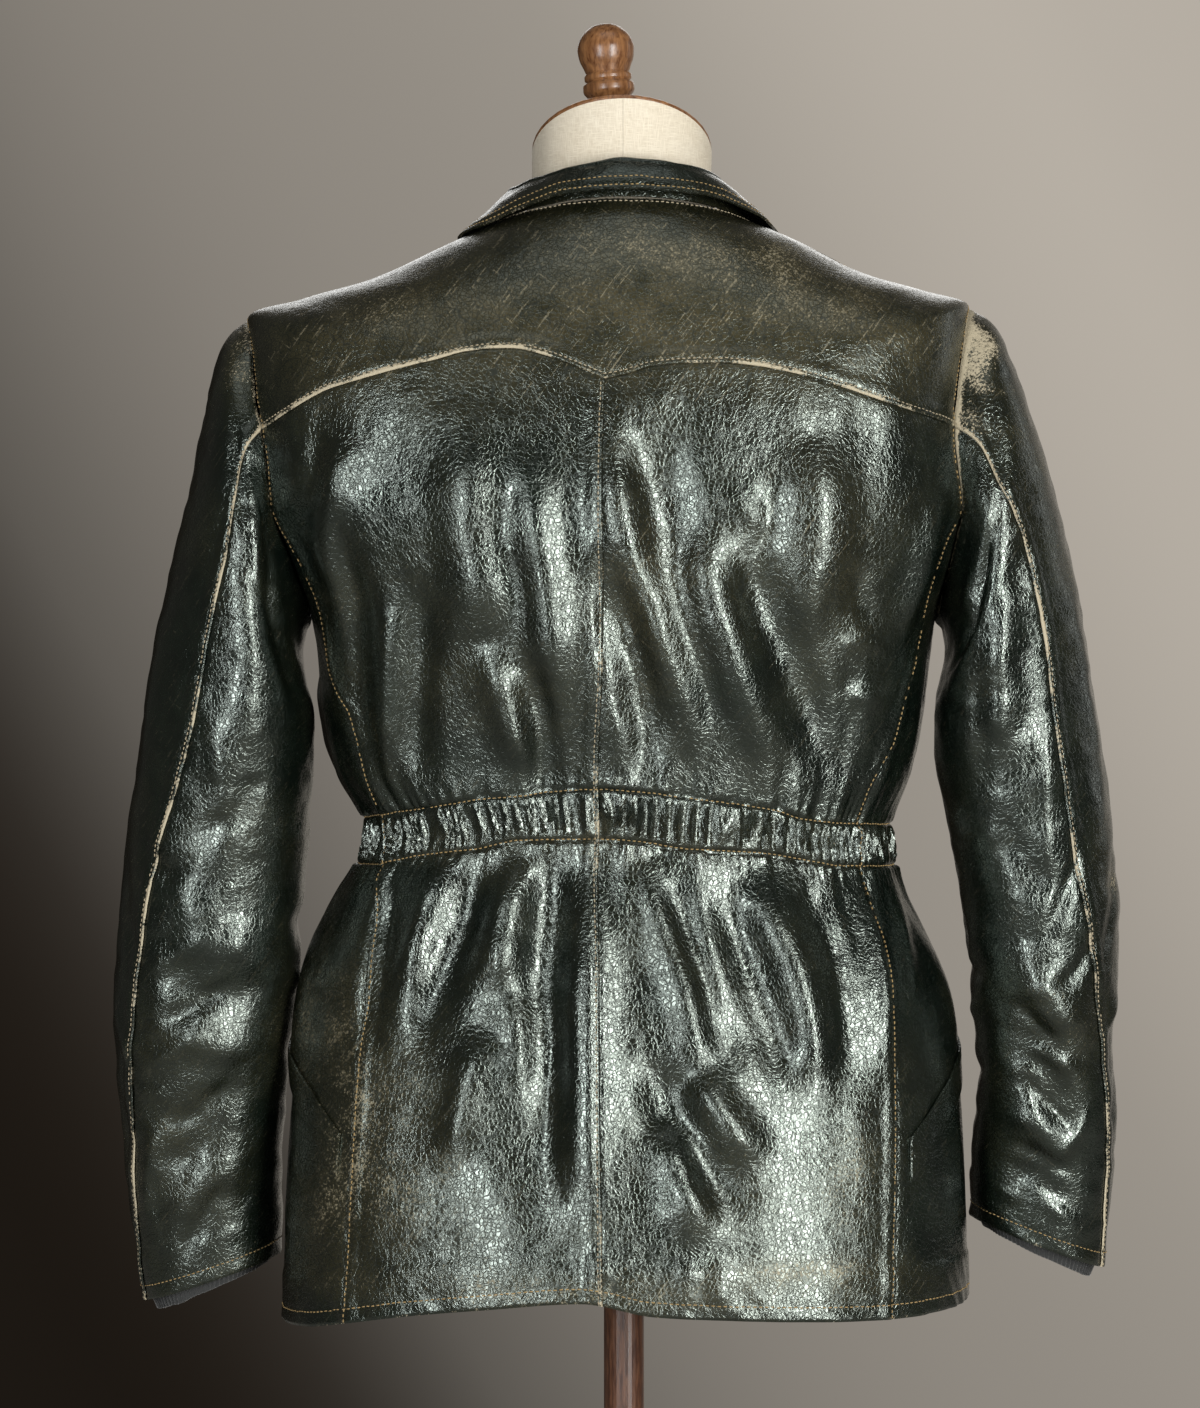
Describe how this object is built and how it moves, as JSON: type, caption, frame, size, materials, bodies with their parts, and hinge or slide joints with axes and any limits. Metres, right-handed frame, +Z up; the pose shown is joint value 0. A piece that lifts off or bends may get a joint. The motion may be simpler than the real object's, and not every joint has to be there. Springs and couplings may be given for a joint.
{
  "type": "leather jacket on dress form",
  "caption": "Hip-length leather jacket with a gathered waist, yoke, low collar and knitted inner cuffs, worn by a limbless dress form on a round wooden stand.",
  "frame": {"origin": "centre of the stand base's underside, on the floor", "axes": "+Z up along the pole, -Y out of the jacket's back, +X towards the wearer's right sleeve"},
  "size_m": [0.6667, 0.36, 1.3006],
  "materials": {
    "leather": "glossy, worn, near-black green",
    "knit": "ribbed knit",
    "linen": "plain linen",
    "turned_wood": "varnished, turned",
    "dark_wood": "stained, satin",
    "button": "satin"
  },
  "bodies": {
    "root": {"back_left": "leather", "back_right": "leather", "back_yoke": "leather", "button_1": "button", "button_2": "button", "button_3": "button", "button_4": "button", "collar": "leather", "finial": "turned_wood", "form": "linen", "front_left": "leather", "front_right": "leather", "neck_cap": "turned_wood", "pocket_left": "leather", "pocket_right": "leather", "pole": "dark_wood", "side_left": "leather", "side_right": "leather", "sleeve_under_left": "leather", "sleeve_under_right": "leather", "sleeve_upper_left": "leather", "sleeve_upper_right": "leather", "stand_base": "dark_wood", "wind_cuff_left": "knit", "wind_cuff_right": "knit"}
  },
  "joints": []
}
